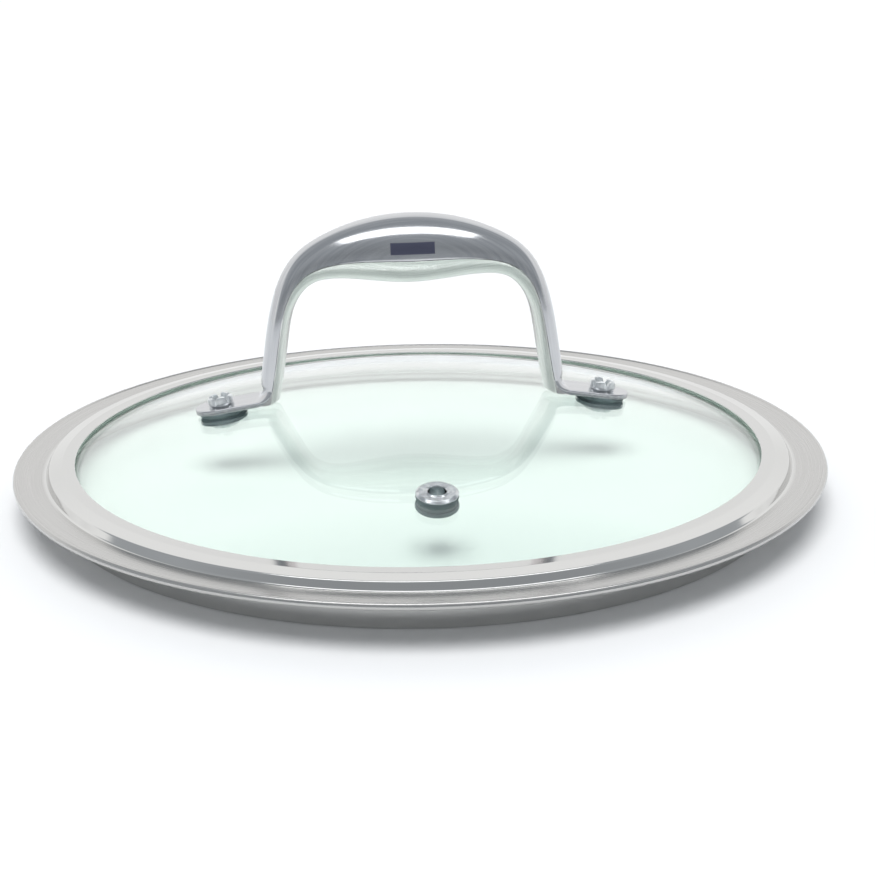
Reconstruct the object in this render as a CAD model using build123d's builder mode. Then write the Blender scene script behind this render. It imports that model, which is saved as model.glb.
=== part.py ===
# Glass lid for an 18 cm saucepan: tempered dome, folded stainless rim, riveted hollow arch
# handle and steam vent. Own frame in mm: +Z up, origin on the axis at the foot of the skirt,
# handle along X, vent towards -Y.
import os
from math import asin, cos, pi, radians, sin, sqrt

from build123d import *

os.makedirs("parts", exist_ok=True)

# ---- shared sizes ----------------------------------------------------------------------
pan_bore_radius = 90.0        # inside of the saucepan mouth the skirt drops into
skirt_clearance = 0.5         # radial play between the skirt and the pan
skirt_radius = pan_bore_radius - skirt_clearance
lid_radius = 98.0             # outside of the hemmed lip
sheet = 0.5                   # thickness of the rim strip
flange_top = 8.75             # top of the flat flange above the skirt foot
hem_radius = 0.7              # half thickness of the rolled lip

glass_thickness = 4.0
edge_seal = 1.0               # silicone between the glass edge and the folded strip
glass_radius = skirt_radius - sheet - edge_seal
dome_radius = 320.0           # outer face of the glass is part of this sphere
tip_radius = skirt_radius - 5.7   # inner edge of the strip on top of the glass
tip_glass_height = 8.83       # outer face of the glass under that edge
dome_centre = tip_glass_height - sqrt(dome_radius ** 2 - tip_radius ** 2)
dome_top = dome_centre + dome_radius
edge_bevel = 0.8

rivet_distance = 47.8         # from the lid axis to each rivet
vent_distance = 60.0          # from the lid axis to the vent
running_gap = 0.05            # radial play of every shank in its washers
spare = 1.0                   # how far a trimming shape runs past the face it trims

rivet_shank_radius = 2.4
rivet_bore_radius = 1.5
bush_radius = 4.0             # silicone sleeve, also the hole in the glass
washer_thickness = 0.8
upper_washer_radius = 5.8
lower_washer_radius = 6.0
backing_washer_radius = 4.0
backing_thickness = 0.5

tab_thickness = 1.2
tab_half_width = 5.5
tab_overhang = 6.6            # from the rivet axis to the round end of the tab
handle_wall = 0.8
seam_gap = 0.08               # weld line between the two pressings

vent_hole_radius = 1.85
vent_tube_radius = 2.3
vent_flange_radius = 4.5
vent_seal_radius = 4.0        # grommet sleeve, also the hole in the glass


def dome_plane(distance, direction):
    """Plane touching the outer glass face, its X pointing away from the lid axis."""
    lean = asin(distance / dome_radius)
    turn = radians(direction)
    height = dome_centre + dome_radius * cos(lean)
    away = (cos(lean) * cos(turn), cos(lean) * sin(turn), -sin(lean))
    normal = (sin(lean) * cos(turn), sin(lean) * sin(turn), cos(lean))
    return Plane(origin=(distance * cos(turn), distance * sin(turn), height), x_dir=away, z_dir=normal)


foot_planes = {"left": dome_plane(rivet_distance, 180), "right": dome_plane(rivet_distance, 0)}
vent_plane = dome_plane(vent_distance, -90)

# ---- glass dome ------------------------------------------------------------------------
inner_dome_radius = dome_radius - glass_thickness
section_plane = Plane(origin=(0, 0, 0), x_dir=(1, 1, 0), z_dir=(1, -1, 0))   # clear of every hole


def dome_height(radius, distance):
    """Height of a sphere about the dome centre at a distance from the lid axis."""
    return dome_centre + sqrt(radius ** 2 - distance ** 2)


with BuildSketch(section_plane) as glass_section:
    with BuildLine():
        top_edge = (glass_radius, dome_height(dome_radius, glass_radius))
        low_edge = (glass_radius, dome_height(inner_dome_radius, glass_radius))
        middle = glass_radius / 2
        Line((0, dome_top - glass_thickness), (0, dome_top))
        ThreePointArc((0, dome_top), (middle, dome_height(dome_radius, middle)), top_edge)
        Line(top_edge, low_edge)
        ThreePointArc(low_edge, (middle, dome_height(inner_dome_radius, middle)),
                      (0, dome_top - glass_thickness))
    make_face()
    rim_corners = [v for v in glass_section.vertices() if v.X > middle]
    chamfer(rim_corners, edge_bevel)

with BuildPart() as glass_dome:
    add(glass_section.sketch)
    revolve(axis=Axis.Z)
    for plane in foot_planes.values():
        with BuildSketch(plane.offset(glass_thickness)):
            Circle(bush_radius)
        extrude(amount=-3 * glass_thickness, mode=Mode.SUBTRACT)
    with BuildSketch(vent_plane.offset(glass_thickness)):
        Circle(vent_seal_radius)
    extrude(amount=-3 * glass_thickness, mode=Mode.SUBTRACT)

# ---- rim band: one strip folded over the glass edge, out to the lip and down the skirt --
flange_bottom = flange_top - 2 * sheet
skirt_inner = skirt_radius - 2 * sheet
channel_radius = skirt_radius - sheet
crown_start = skirt_radius - 2.8
crown_end = skirt_radius + 0.1
crown_top = flange_top + 1.4
step_foot = skirt_radius + 1.4
seal_bed = 0.4                # silicone above and below the glass
strip_lean = 0.1              # the strip behind the seal leans in this much towards the ledge
tip_under = tip_glass_height + seal_bed
ledge_radius = skirt_radius - 5.1   # inner edge of the ledge under the glass
ledge_top = dome_height(inner_dome_radius, ledge_radius) - seal_bed
ledge_root = dome_height(inner_dome_radius, channel_radius) - seal_bed
crown_radius = 0.6
step_radius = 0.3
bend_radius = 0.9             # inside bend between the skirt and the flange
foot_radius = 0.4             # rounded foot of the skirt
slope_offset = 0.22           # sideways shift of the strip's inner face on the step
crown_inside = (crown_end - slope_offset, crown_top - sheet)
step_inside = (step_foot - slope_offset, flange_top - sheet)

channel_outline = [
    (tip_radius, tip_under),
    (crown_start, crown_top - sheet),
    crown_inside,
    step_inside,
    (channel_radius, flange_top - sheet),
    (channel_radius - strip_lean, ledge_root),
    (ledge_radius, ledge_top),
]

with BuildPart() as rim_band:
    with BuildSketch(section_plane) as band_section:
        with BuildLine():
            Polyline(
                (tip_radius, tip_under + sheet),
                (crown_start, crown_top),
                (crown_end, crown_top),
                (step_foot, flange_top),
                (lid_radius - hem_radius, flange_top),
                (lid_radius - hem_radius, flange_bottom),
                (skirt_radius, flange_bottom),
                (skirt_radius, 0),
                (skirt_inner, 0),
                (skirt_inner, ledge_root - sheet),
                (ledge_radius, ledge_top - sheet),
                *reversed(channel_outline),
                close=True,
            )
        make_face()
        corners = band_section.vertices()
        crown_corners = [v for v in corners if v.Y > crown_top - 0.01]
        fillet(crown_corners, crown_radius)
        foot_corners = [v for v in band_section.vertices() if abs(v.X - step_foot) < 0.01]
        fillet(foot_corners, step_radius)
        hem_corners = [v for v in band_section.vertices() if v.Y < 0.01]
        fillet(hem_corners, foot_radius)
        bend_corners = [v for v in band_section.vertices()
                        if abs(v.X - skirt_radius) < 0.01 and abs(v.Y - flange_bottom) < 0.01]
        fillet(bend_corners, bend_radius)
        with Locations((lid_radius - hem_radius, flange_bottom + hem_radius)):
            Circle(hem_radius)
    revolve(axis=Axis.Z)

# ---- silicone seal filling the channel round the glass edge -----------------------------
with BuildPart() as rim_seal:
    with BuildSketch(section_plane):
        with BuildLine():
            Polyline(*channel_outline, close=True)
        make_face()
        add(glass_section.sketch_local, mode=Mode.SUBTRACT)
    revolve(axis=Axis.Z)

# ---- handle: two pressed shells meeting on a seam that follows the arch -----------------
grip_half_width = 10.5
leg_half_width = tab_half_width
grip_rise = 10.1              # outer shell above the seam at mid grip
leg_rise = 3.4
grip_sag = 6.4                # inner shell below the seam at mid grip
leg_sag = 2.1
swell_length = 38.0           # distance along the seam over which the grip thins to the leg
foot_flare = 2.2              # how far the outer shell spreads where it turns into the tab
flare_length = 3.5
station_count = 25
foot_setback = 12.3           # from the rivet axis to the foot of the leg
foot_height = dome_height(dome_radius, rivet_distance)
half_span = rivet_distance - foot_setback

# the seam from the foot of a leg to mid grip, drawn inwards from the half span
seam_points = [
    (half_span, foot_height + 3.2),
    (half_span - 1.9, foot_height + 12.6),
    (half_span - 3.8, foot_height + 22.9),
    (half_span - 6.0, foot_height + 29.3),
    (half_span - 10.3, foot_height + 34.4),
    (half_span - 17.0, foot_height + 36.9),
    (0, foot_height + 37.6),
]
left_half = [(-x, z) for x, z in seam_points]
right_half = [(x, z) for x, z in reversed(seam_points[:-1])]

with BuildLine(Plane.XZ) as seam:
    Spline(*left_half, *right_half)
seam_wire = seam.wires()[0]
seam_length = seam_wire.length


def station(index):
    """Section plane and the half width, rise and sag of the grip at one station."""
    share = index / (station_count - 1)
    along = share * seam_length
    from_middle = abs(along - seam_length / 2)
    from_foot = min(along, seam_length - along)
    swell = 0.5 * (1 + cos(pi * min(from_middle / swell_length, 1)))
    flare = foot_flare * max(0, 1 - from_foot / flare_length) ** 2
    plane = Plane(origin=seam_wire @ share, x_dir=(0, 1, 0), z_dir=seam_wire % share)
    half_width = leg_half_width + (grip_half_width - leg_half_width) * swell
    rise = leg_rise + (grip_rise - leg_rise) * swell + flare
    sag = leg_sag + (grip_sag - leg_sag) * swell
    return plane, half_width, rise, sag


tab_reach = 14.6              # from the rivet axis back to the inside of the leg
foot_trim = (60, 30, 8)       # block that trims a leg to its foot plane: length, width, depth


def tab_outline():
    """Flat tab with a round end beyond the rivet."""
    end_centre = tab_overhang - tab_half_width
    with BuildSketch() as tab:
        with Locations(((end_centre - tab_reach) / 2, 0)):
            Rectangle(tab_reach + end_centre, 2 * tab_half_width)
        with Locations((end_centre, 0)):
            Circle(tab_half_width)
    return tab.sketch


def closed_section(plane, half_width, height):
    """Face between the seam and an arc over it; a negative height bulges inwards."""
    edge = 0 if height > 0 else -seam_gap
    with BuildSketch(plane) as section:
        with BuildLine():
            ThreePointArc((half_width, edge), (0, height), (-half_width, edge))
            Line((-half_width, edge), (half_width, edge))
        make_face()
    return section.sketch.faces()[0]


def shell_section(plane, half_width, height):
    """The wall of the pressing alone, open along the seam."""
    inside = half_width - handle_wall
    crest = height - handle_wall if height > 0 else height + handle_wall
    edge = 0 if height > 0 else -seam_gap
    with BuildSketch(plane) as section:
        with BuildLine():
            ThreePointArc((half_width, edge), (0, height), (-half_width, edge))
            Line((-half_width, edge), (-inside, edge))
            ThreePointArc((-inside, edge), (0, crest), (inside, edge))
            Line((inside, edge), (half_width, edge))
        make_face()
    return section.sketch.faces()[0]


closed_stations = 3           # stations at each foot where the pressing is closed flat
last_station = station_count - 1


def arch_faces(make_section, first, last, side):
    """Section faces of one pressing from one station to another; side 1 is outside, -1 inside."""
    faces = []
    for index in range(first, last + 1):
        plane, half_width, rise, sag = station(index)
        faces.append(make_section(plane, half_width, rise if side > 0 else -sag))
    return faces


with BuildPart() as handle_top_shell:
    loft(arch_faces(shell_section, closed_stations, last_station - closed_stations, 1))
    loft(arch_faces(closed_section, 0, closed_stations, 1))
    loft(arch_faces(closed_section, last_station - closed_stations, last_station, 1))
    for plane in foot_planes.values():
        with BuildSketch(plane.offset(washer_thickness)):
            Rectangle(foot_trim[0], foot_trim[1])
        extrude(amount=-foot_trim[2], mode=Mode.SUBTRACT)
        with BuildSketch(plane.offset(washer_thickness)):
            add(tab_outline())
        extrude(amount=tab_thickness)
        with BuildSketch(plane.offset(washer_thickness - spare)):
            Circle(rivet_shank_radius + running_gap)
        extrude(amount=tab_thickness + 2 * spare, mode=Mode.SUBTRACT)

with BuildPart() as handle_bottom_shell:
    loft(arch_faces(shell_section, closed_stations, last_station - closed_stations, -1))
    loft(arch_faces(closed_section, 0, closed_stations, -1))
    loft(arch_faces(closed_section, last_station - closed_stations, last_station, -1))
    for plane in foot_planes.values():
        with BuildSketch(plane.offset(washer_thickness + tab_thickness)):
            Rectangle(foot_trim[0], foot_trim[1])
        extrude(amount=-foot_trim[2], mode=Mode.SUBTRACT)

# ---- rivets, sleeves and washers, one set at each foot ----------------------------------
glass_under = -glass_thickness
lower_face = glass_under - washer_thickness
backing_face = lower_face - backing_thickness
factory_head_radius = 3.6
factory_head_height = 0.7
crimp_radius = 3.25
crimp_height = 2.4
crimp_slot = 0.9
crimp_slots = 6
crimp_slot_depth = 0.7 * crimp_height
crimp_round = 0.5
factory_head_round = 0.3
backing_round = 0.2
dome_ball_centre = (0, 0, dome_centre)
ball_turn = (0, 0, 45)        # keeps the seam of the ball away from the holes

upper_washers = {}
lower_washers = {}
backing_washers = {}
bushes = {}
rivets = {}

for side, plane in foot_planes.items():
    with BuildPart() as upper_washer:
        with BuildSketch(plane.offset(washer_thickness)):
            Circle(upper_washer_radius)
            Circle(rivet_shank_radius + running_gap, mode=Mode.SUBTRACT)
        extrude(amount=-2 * washer_thickness)
        with Locations(dome_ball_centre):
            Sphere(dome_radius, rotation=ball_turn, mode=Mode.SUBTRACT)

    with BuildPart() as lower_washer:
        with BuildSketch(plane.offset(lower_face)):
            Circle(lower_washer_radius)
            Circle(rivet_shank_radius + running_gap, mode=Mode.SUBTRACT)
        extrude(amount=2 * washer_thickness)
        with Locations(dome_ball_centre):
            Sphere(inner_dome_radius, rotation=ball_turn, mode=Mode.INTERSECT)

    with BuildPart() as backing_washer:
        with BuildSketch(plane.offset(backing_face)):
            Circle(backing_washer_radius)
            Circle(rivet_shank_radius + running_gap, mode=Mode.SUBTRACT)
        extrude(amount=backing_thickness)
        rims = backing_washer.edges().filter_by(GeomType.CIRCLE).sort_by(SortBy.RADIUS)[-2:]
        fillet(rims, backing_round)

    with BuildPart() as bush:
        with BuildSketch(plane.offset(spare)):
            Circle(bush_radius)
            Circle(rivet_shank_radius + running_gap, mode=Mode.SUBTRACT)
        extrude(amount=-glass_thickness - 2 * spare)
        with Locations(dome_ball_centre):
            Sphere(dome_radius, rotation=ball_turn, mode=Mode.INTERSECT)
            Sphere(inner_dome_radius, rotation=ball_turn, mode=Mode.SUBTRACT)

    head_foot = washer_thickness + tab_thickness
    with BuildPart() as rivet:
        with BuildSketch(plane.offset(backing_face - factory_head_height)):
            Circle(factory_head_radius)
        extrude(amount=factory_head_height)
        fillet(rivet.faces().sort_by(Axis(plane.origin, plane.z_dir))[0].edges(), factory_head_round)
        with BuildSketch(plane.offset(backing_face)):
            Circle(rivet_shank_radius)
        extrude(amount=head_foot - backing_face)
        with BuildSketch(plane.offset(head_foot)):
            Circle(crimp_radius)
        extrude(amount=crimp_height)
        fillet(rivet.faces().sort_by(Axis(plane.origin, plane.z_dir))[-1].edges(), crimp_round)
        with BuildSketch(plane.offset(head_foot + crimp_height)):
            with PolarLocations(crimp_radius, crimp_slots):
                Rectangle(crimp_radius, crimp_slot)
        extrude(amount=-crimp_slot_depth, mode=Mode.SUBTRACT)
        with BuildSketch(plane.offset(head_foot + crimp_height)):
            Circle(rivet_bore_radius)
        extrude(amount=backing_face - head_foot - crimp_height, mode=Mode.SUBTRACT)

    upper_washers[side] = upper_washer
    lower_washers[side] = lower_washer
    backing_washers[side] = backing_washer
    bushes[side] = bush
    rivets[side] = rivet

# ---- steam vent: eyelet rolled over a grommet and a collar under the glass --------------
vent_seal_lip = 0.5
vent_seal_inset = 0.2
vent_flange_thickness = 0.8
vent_collar_radius = 4.5
vent_roll_radius = 3.3
vent_roll_thickness = 0.6
vent_flange_round = 0.35
vent_drill = 5 * glass_thickness

with BuildPart() as vent_seal:
    with BuildSketch(vent_plane.offset(vent_seal_lip)):
        Circle(vent_flange_radius - vent_seal_inset)
        Circle(vent_tube_radius, mode=Mode.SUBTRACT)
    extrude(amount=-2 * vent_seal_lip)
    with Locations(dome_ball_centre):
        Sphere(dome_radius, rotation=ball_turn, mode=Mode.SUBTRACT)
    with BuildPart(mode=Mode.PRIVATE) as sleeve:
        with BuildSketch(vent_plane.offset(spare)):
            Circle(vent_seal_radius)
            Circle(vent_tube_radius, mode=Mode.SUBTRACT)
        extrude(amount=-glass_thickness - 2 * spare)
        with Locations(dome_ball_centre):
            Sphere(dome_radius, rotation=ball_turn, mode=Mode.INTERSECT)
            Sphere(inner_dome_radius, rotation=ball_turn, mode=Mode.SUBTRACT)
    add(sleeve.part)

with BuildPart() as vent_collar:
    with BuildSketch(vent_plane.offset(glass_under - washer_thickness)):
        Circle(vent_collar_radius)
        Circle(vent_tube_radius, mode=Mode.SUBTRACT)
    extrude(amount=2 * washer_thickness)
    with Locations(dome_ball_centre):
        Sphere(inner_dome_radius, rotation=ball_turn, mode=Mode.INTERSECT)

with BuildPart() as vent_eyelet:
    with BuildSketch(vent_plane.offset(vent_seal_lip)):
        Circle(vent_flange_radius)
    extrude(amount=vent_flange_thickness)
    flange_rims = vent_eyelet.edges().filter_by(GeomType.CIRCLE)
    fillet(flange_rims, vent_flange_round)
    with BuildSketch(vent_plane.offset(vent_seal_lip)):
        Circle(vent_tube_radius)
    extrude(amount=lower_face - vent_seal_lip)
    with BuildSketch(vent_plane.offset(lower_face)):
        Circle(vent_roll_radius)
    extrude(amount=-vent_roll_thickness)
    with BuildSketch(vent_plane.offset(vent_seal_lip + vent_flange_thickness)):
        Circle(vent_hole_radius)
    extrude(amount=-vent_drill, mode=Mode.SUBTRACT)

# ---- exports ---------------------------------------------------------------------------
assembly = {
    "glass_dome": glass_dome,
    "rim_band": rim_band,
    "rim_seal": rim_seal,
    "handle_top_shell": handle_top_shell,
    "handle_bottom_shell": handle_bottom_shell,
    "vent_eyelet": vent_eyelet,
    "vent_seal": vent_seal,
    "vent_collar": vent_collar,
}
for side in foot_planes:
    assembly["rivet_" + side] = rivets[side]
    assembly["rivet_bush_" + side] = bushes[side]
    assembly["upper_washer_" + side] = upper_washers[side]
    assembly["lower_washer_" + side] = lower_washers[side]
    assembly["backing_washer_" + side] = backing_washers[side]

for name, block in assembly.items():
    block.part.label = name
    export_step(block.part, f"parts/{name}.step")
    print(name, len(block.part.solids()), round(block.part.volume, 1))
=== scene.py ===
# Glass saucepan lid: stainless rim, tempered dome, pressed arch handle on two rivets, steam vent.
from math import asin, cos, pi, radians, sin, sqrt

import bpy
import numpy as np
from mathutils import Matrix, Vector


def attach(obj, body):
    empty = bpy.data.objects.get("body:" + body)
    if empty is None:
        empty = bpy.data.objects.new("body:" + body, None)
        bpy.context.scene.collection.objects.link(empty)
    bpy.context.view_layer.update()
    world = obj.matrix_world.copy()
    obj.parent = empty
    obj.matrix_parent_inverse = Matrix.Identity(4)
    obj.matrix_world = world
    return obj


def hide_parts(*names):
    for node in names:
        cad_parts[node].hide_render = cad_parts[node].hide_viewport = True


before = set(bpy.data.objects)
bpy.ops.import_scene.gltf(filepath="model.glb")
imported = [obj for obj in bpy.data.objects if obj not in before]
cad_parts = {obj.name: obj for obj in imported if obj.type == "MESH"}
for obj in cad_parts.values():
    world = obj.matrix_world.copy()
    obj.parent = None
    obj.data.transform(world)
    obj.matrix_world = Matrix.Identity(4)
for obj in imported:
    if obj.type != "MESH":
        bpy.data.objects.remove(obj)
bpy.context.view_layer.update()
mm = 0.001

# camera
view = {
    "target": (-0.01158, 0.00038, 0.00727),
    "azimuth": -1.897,
    "elevation": 17.965,
    "distance": 0.28098,
    "roll": -1.804,
    "lens": 45.205,
    "shift": (0.0799, 0.0016),
}


def makeCamera(settings):
    # stands at target + distance * (sin a cos e, -cos a cos e, sin e), then rolls about its own axis
    azimuth, elevation, roll = (radians(settings[key]) for key in ("azimuth", "elevation", "roll"))
    back = Vector((sin(azimuth) * cos(elevation), -cos(azimuth) * cos(elevation), sin(elevation)))
    right = Vector((cos(azimuth), sin(azimuth), 0))
    up = back.cross(right)
    across = cos(roll) * right + sin(roll) * up
    above = -sin(roll) * right + cos(roll) * up
    camera = bpy.data.objects.new("studioCamera", bpy.data.cameras.new("studioCamera"))
    place = Matrix((across, above, back)).transposed().to_4x4()
    place.translation = Vector(settings["target"]) + settings["distance"] * back
    camera.matrix_world = place
    camera.data.lens = settings["lens"]
    camera.data.sensor_width = 36
    camera.data.shift_x, camera.data.shift_y = settings["shift"]
    camera.data.clip_start, camera.data.clip_end = 0.01, 20
    bpy.context.scene.collection.objects.link(camera)
    bpy.context.scene.camera = camera


makeCamera(view)
print("camera placed")

# sizes shared by the pieces, in millimetres
lid = {
    "domeRadius": 320.0, "glassThickness": 4.0, "glassRadius": 88.0, "tipRadius": 83.8, "tipHeight": 8.83,
    "rivetDistance": 47.8, "ventDistance": 60.0, "washer": 0.8, "tab": 1.2,
    "bushRadius": 4.0, "ventHole": 4.0,
}
domeCentre = lid["tipHeight"] - sqrt(lid["domeRadius"] ** 2 - lid["tipRadius"] ** 2)
innerRadius = lid["domeRadius"] - lid["glassThickness"]


def domeHeight(radius, distance):
    # height of a sphere about the dome centre at a distance from the lid axis
    return domeCentre + np.sqrt(radius ** 2 - np.asarray(distance) ** 2)


def domePlace(distance, direction):
    # frame of the plane touching the outer glass face, X pointing away from the lid axis
    lean, turn = asin(distance / lid["domeRadius"]), radians(direction)
    away = Vector((cos(lean) * cos(turn), cos(lean) * sin(turn), -sin(lean)))
    normal = Vector((sin(lean) * cos(turn), sin(lean) * sin(turn), cos(lean)))
    place = Matrix((away, normal.cross(away), normal)).transposed().to_4x4()
    height = domeCentre + lid["domeRadius"] * cos(lean)
    place.translation = Vector((distance * cos(turn), distance * sin(turn), height))
    return np.array(place)


footPlaces = {"left": domePlace(lid["rivetDistance"], 180), "right": domePlace(lid["rivetDistance"], 0)}
ventPlace = domePlace(lid["ventDistance"], -90)


# mesh tools
def closedMesh(name, points, faces, crease=35):
    # signed volume is the sum of p0 . (p1 x p2) over the triangles; a negative one turns every face
    corners = points[faces]
    first, second, third = corners[:, 0], corners[:, 1], corners[:, 2]
    volume = np.einsum("ij,ij->", first, np.cross(second, third))
    if faces.shape[1] == 4:
        volume += np.einsum("ij,ij->", first, np.cross(third, corners[:, 3]))
    if volume < 0:
        faces = faces[:, ::-1]
    mesh = bpy.data.meshes.new(name)
    mesh.from_pydata((points * mm).tolist(), [], faces.tolist())
    piece = bpy.data.objects.new(name, mesh)
    bpy.context.scene.collection.objects.link(piece)
    smoothMesh(mesh, crease)
    return piece


def smoothMesh(mesh, crease):
    # smooth faces everywhere, except across edges that turn by more than the crease angle
    mesh.polygons.foreach_set("use_smooth", np.ones(len(mesh.polygons), dtype=bool))
    mesh.set_sharp_from_angle(angle=radians(crease))
    mesh.update()


def gridFaces(rows, columns, wrapRows, wrapColumns):
    # quads between neighbouring rows and columns of a grid, joined back to the start where it wraps
    row = np.arange(rows if wrapRows else rows - 1)[:, None]
    column = np.arange(columns if wrapColumns else columns - 1)[None, :]
    nextRow, nextColumn = (row + 1) % rows, (column + 1) % columns
    quads = (row * columns + column, nextRow * columns + column,
             nextRow * columns + nextColumn, row * columns + nextColumn)
    return np.stack([np.broadcast_to(quad, (row.size, column.size)) for quad in quads], -1).reshape(-1, 4)


def roundedLoop(corners, steps=5):
    # each corner is (across, up, radius); a corner with a radius becomes an arc tangent to both sides
    corners = np.array(corners, dtype=float)
    points, radii = corners[:, :2], corners[:, 2]
    before = np.roll(points, 1, 0) - points
    after = np.roll(points, -1, 0) - points
    before /= np.linalg.norm(before, axis=1)[:, None]
    after /= np.linalg.norm(after, axis=1)[:, None]
    half = np.arccos(np.clip((before * after).sum(1), -1, 1)) / 2
    middle = before + after
    middle /= np.maximum(np.linalg.norm(middle, axis=1), 1e-9)[:, None]
    centre = points + middle * (radii / np.sin(half))[:, None]
    start = points + before * (radii / np.tan(half))[:, None]
    loop = []
    for index in range(len(points)):
        if radii[index] == 0:
            loop.append(points[index:index + 1])
            continue
        first = start[index] - centre[index]
        sweep = pi - 2 * half[index]
        sign = np.sign(before[index][0] * after[index][1] - before[index][1] * after[index][0])
        turn = -sign * np.linspace(0, sweep, steps + 1)
        loop.append(centre[index] + np.stack([first[0] * np.cos(turn) - first[1] * np.sin(turn),
                                              first[0] * np.sin(turn) + first[1] * np.cos(turn)], -1))
    return braced(np.concatenate(loop))


def braced(loop, reach=0.05, longEnough=0.3):
    # two more points just inside each long side keep the flats flat in smooth shading
    points = []
    for here, after in zip(loop, np.roll(loop, -1, 0)):
        length = np.linalg.norm(after - here)
        points.append(here)
        if length > longEnough:
            points.extend([here + (after - here) * reach / length, after + (here - after) * reach / length])
    return np.array(points)


def turned(outline, segments, ripple=None):
    # (distance, height) rows become (d cos a, d sin a, height) at each angle a; ripple may reshape them
    angle = np.linspace(0, 2 * pi, segments, endpoint=False)[None, :]
    distance, height = (np.repeat(outline[:, column, None], segments, 1) for column in (0, 1))
    if ripple:
        distance, height = ripple(distance, height, angle)
    return np.stack([distance * np.cos(angle), distance * np.sin(angle), height], -1).reshape(-1, 3)


def lathe(name, loop, place=None, segments=256, crease=35):
    # a closed (distance, height) loop turned about the axis of its place
    points = turned(loop, segments)
    faces = gridFaces(len(loop), segments, True, True)
    if place is not None:
        points = points @ place[:3, :3].T + place[:3, 3]
    return closedMesh(name, points, faces, crease)


def latheSolid(name, profile, place=None, segments=256, crease=35, ripple=None):
    # an open (distance, height) profile whose two ends lie on the axis, closed there by fans
    inner = profile[1:-1]
    points = turned(inner, segments, ripple)
    poles = np.array([(0, 0, profile[0, 1]), (0, 0, profile[-1, 1])])
    points = np.concatenate([points, poles])
    quads = gridFaces(len(inner), segments, False, True)
    quads = np.concatenate([quads[:, [0, 1, 2]], quads[:, [0, 2, 3]]])
    ring = np.arange(segments)
    after = (ring + 1) % segments
    last = (len(inner) - 1) * segments
    topPole, endPole = len(points) - 2, len(points) - 1
    fans = [np.stack([np.full(segments, topPole), ring, after], -1),
            np.stack([np.full(segments, endPole), last + after, last + ring], -1)]
    if place is not None:
        points = points @ place[:3, :3].T + place[:3, 3]
    return closedMesh(name, points, np.concatenate([quads, *fans]), crease)


def settle(piece, slotName, material, *nodes):
    # the piece rides on the lid, takes its material and stands for its CAD nodes
    piece.data.materials.clear()
    piece.data.materials.append(material)
    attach(piece, "root")
    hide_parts(*nodes)


# shader tools
class Wire:
    # a socket that can be written in sums; each operator adds one Math node
    def __init__(self, shader, socket):
        self.shader, self.socket = shader, socket

    def join(self, operation, first, second):
        # one Math node on two values, either of which may be a plain number
        return self.shader.node("ShaderNodeMath", {"operation": operation}, {0: first, 1: second})

    def __add__(self, other):
        return self.join("ADD", self, other)

    __radd__ = __add__

    def __sub__(self, other):
        return self.join("SUBTRACT", self, other)

    def __rsub__(self, other):
        return self.join("SUBTRACT", other, self)

    def __mul__(self, other):
        return self.join("MULTIPLY", self, other)

    __rmul__ = __mul__

    def __pow__(self, other):
        return self.join("POWER", self, other)

    def __lt__(self, other):
        return self.join("LESS_THAN", self, other)

    def band(self, low, high):
        # 0 below low, 1 above high, smooth between
        return self.shader.node("ShaderNodeMapRange", {"interpolation_type": "SMOOTHSTEP"},
                                {"Value": self, "From Min": low, "From Max": high})


class Shader:
    # one material and its nodes
    def __init__(self, name, **fixed):
        self.material = bpy.data.materials.new(name)
        self.material.use_nodes = True
        self.tree = self.material.node_tree
        self.tree.nodes.clear()
        self.output = self.tree.nodes.new("ShaderNodeOutputMaterial")
        self.surface = self.tree.nodes.new("ShaderNodeBsdfPrincipled")
        self.tree.links.new(self.surface.outputs[0], self.output.inputs["Surface"])
        self.feed(self.surface, fixed)

    def feed(self, node, values):
        # a wire is linked to its socket; a number or a colour is set on it
        for key, value in values.items():
            socket = node.inputs[key.replace("_", " ") if isinstance(key, str) else key]
            if isinstance(value, Wire):
                self.tree.links.new(value.socket, socket)
            elif isinstance(value, tuple) and socket.type == "RGBA" and len(value) == 3:
                socket.default_value = (*value, 1)
            else:
                socket.default_value = value

    def node(self, kind, settings=None, values=None, output=0):
        # any other node, wrapped at one of its outputs
        made = self.tree.nodes.new(kind)
        for key, value in (settings or {}).items():
            setattr(made, key, value)
        self.feed(made, values or {})
        return Wire(self, made.outputs[output])

    def place(self):
        # object coordinates split into x, y, z in metres
        spot = self.node("ShaderNodeTexCoord", output="Object")
        split = self.tree.nodes.new("ShaderNodeSeparateXYZ")
        self.tree.links.new(spot.socket, split.inputs[0])
        return spot, *(Wire(self, split.outputs[axis]) for axis in range(3))

    def vector(self, x, y, z):
        # three values as one vector
        return self.node("ShaderNodeCombineXYZ", None, {0: x, 1: y, 2: z})

    def noise(self, at, scale, detail=2.0, roughness=0.5):
        # cloudy noise from 0 to 1 at a vector times the scale
        return self.node("ShaderNodeTexNoise", {"noise_dimensions": "3D"},
                         {"Vector": at, "Scale": scale, "Detail": detail, "Roughness": roughness})

    def blend(self, share, first, second):
        # colour between two others; a Mix node keeps it a colour
        mix = self.tree.nodes.new("ShaderNodeMix")
        mix.data_type = "RGBA"
        self.feed(mix, {0: share, 6: first, 7: second})
        return Wire(self, mix.outputs[2])

    def bump(self, height, strength, distance):
        # normal tilted by the slope of a height, the distance in metres
        return self.node("ShaderNodeBump", None,
                         {"Height": height, "Strength": strength, "Distance": distance})


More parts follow.
